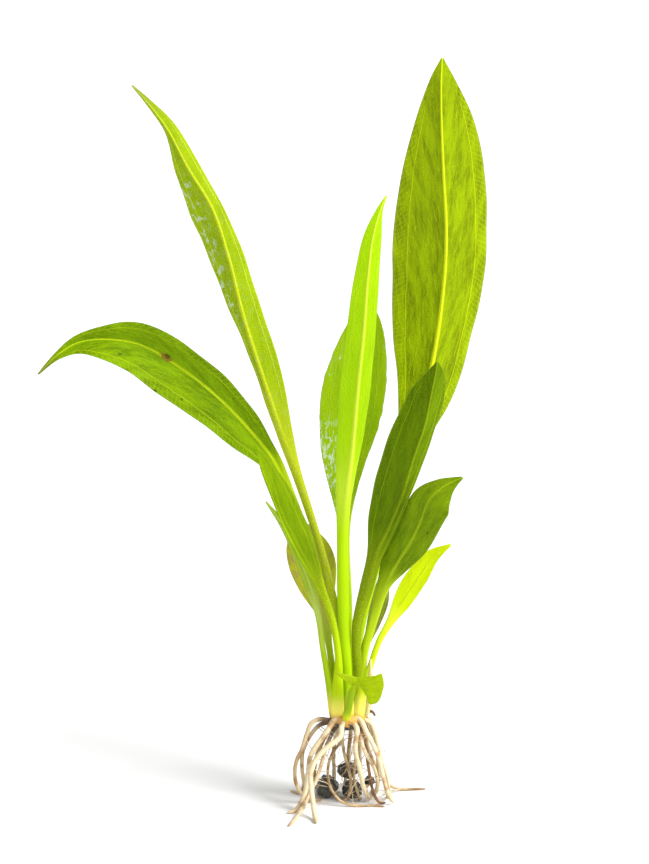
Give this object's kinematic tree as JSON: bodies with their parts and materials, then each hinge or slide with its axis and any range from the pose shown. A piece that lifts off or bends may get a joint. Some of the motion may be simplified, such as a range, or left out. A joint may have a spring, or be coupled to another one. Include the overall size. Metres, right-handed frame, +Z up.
{
  "type": "amazon sword plant",
  "caption": "Bare-root aquarium sword plant: a rosette of long pointed green leaves on stalks from a short crown, standing on its splayed cream roots.",
  "frame": {"origin": "on the ground, at the middle of the plant's bounding box seen from above", "axes": "+Z up along the stalks, the plant's front faces -Y, and the arching leaf reaches towards -X"},
  "size_m": [0.1594, 0.0662, 0.2635],
  "materials": {
    "crown": "satin",
    "leaf_deep": "satin",
    "leaf_bright": "satin",
    "leaf_young": "satin",
    "leaf_old": "satin",
    "papery": "matte",
    "root": "satin",
    "root_brown": "satin",
    "gravel": "satin"
  },
  "bodies": {
    "root": {"crown": "crown", "leaf_tall_right": "leaf_deep", "leaf_front_right": "leaf_bright", "leaf_low_right": "leaf_bright", "leaf_yellow_right": "leaf_young", "leaf_olive_right": "leaf_old", "leaf_centre": "leaf_bright", "leaf_behind_centre": "leaf_deep", "leaf_tall_left": "leaf_bright", "leaf_arching_left": "leaf_deep", "leaf_front_left": "leaf_bright", "leaf_old_yellow": "leaf_old", "leaf_small_left": "leaf_young", "leaf_curled_front": "leaf_young", "sheath_dry": "papery", "root_left_1": "root", "root_left_2": "root", "root_left_3": "root", "root_left_4": "root", "root_front_left": "root", "root_long_left": "root", "root_loop_left": "root", "root_front_1": "root", "root_front_2": "root", "root_middle": "root", "root_right_1": "root", "root_right_2": "root", "root_right_3": "root", "root_right_4": "root", "root_trailing": "root", "root_back_1": "root", "root_back_2": "root", "root_back_3": "root", "root_across": "root", "root_orange": "root_brown", "root_stub": "root_brown", "gravel_left": "gravel", "gravel_top": "gravel", "gravel_low": "gravel", "gravel_right": "gravel"}
  },
  "joints": []
}
